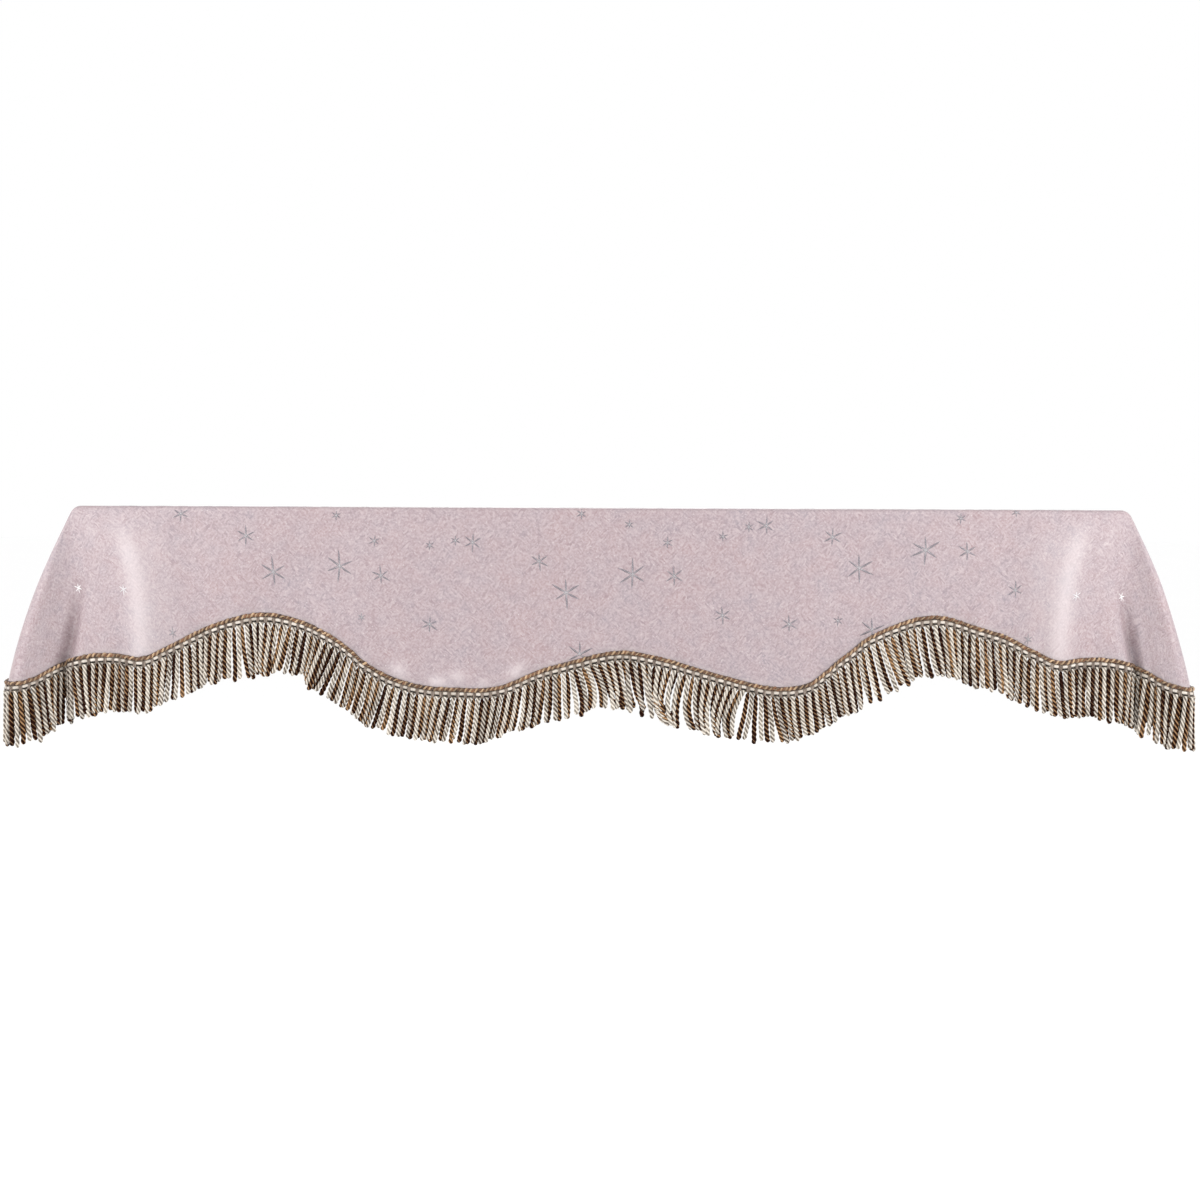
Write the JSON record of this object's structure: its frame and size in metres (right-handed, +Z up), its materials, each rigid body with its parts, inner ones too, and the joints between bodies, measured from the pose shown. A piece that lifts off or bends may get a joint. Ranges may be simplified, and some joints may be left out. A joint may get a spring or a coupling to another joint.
{
  "type": "draped piano top cover",
  "caption": "Draped cloth cover for the top of a piano, with folds at the corners, a scalloped front hem and a twisted rope fringe along the front and sides.",
  "frame": {"origin": "middle of the underside of the flat top, where the cover lies on what it covers", "axes": "+X along the top's length, +Z up, and the scalloped front faces -Y"},
  "size_m": [1.7134, 0.4911, 0.3474],
  "materials": {
    "cloth": "pink jacquard with a soft sheen and silver stars",
    "fringe": "twisted rayon ropes in cream and brown"
  },
  "bodies": {
    "root": {"cover_cloth": "cloth", "fringe_trim": "fringe"}
  },
  "joints": []
}
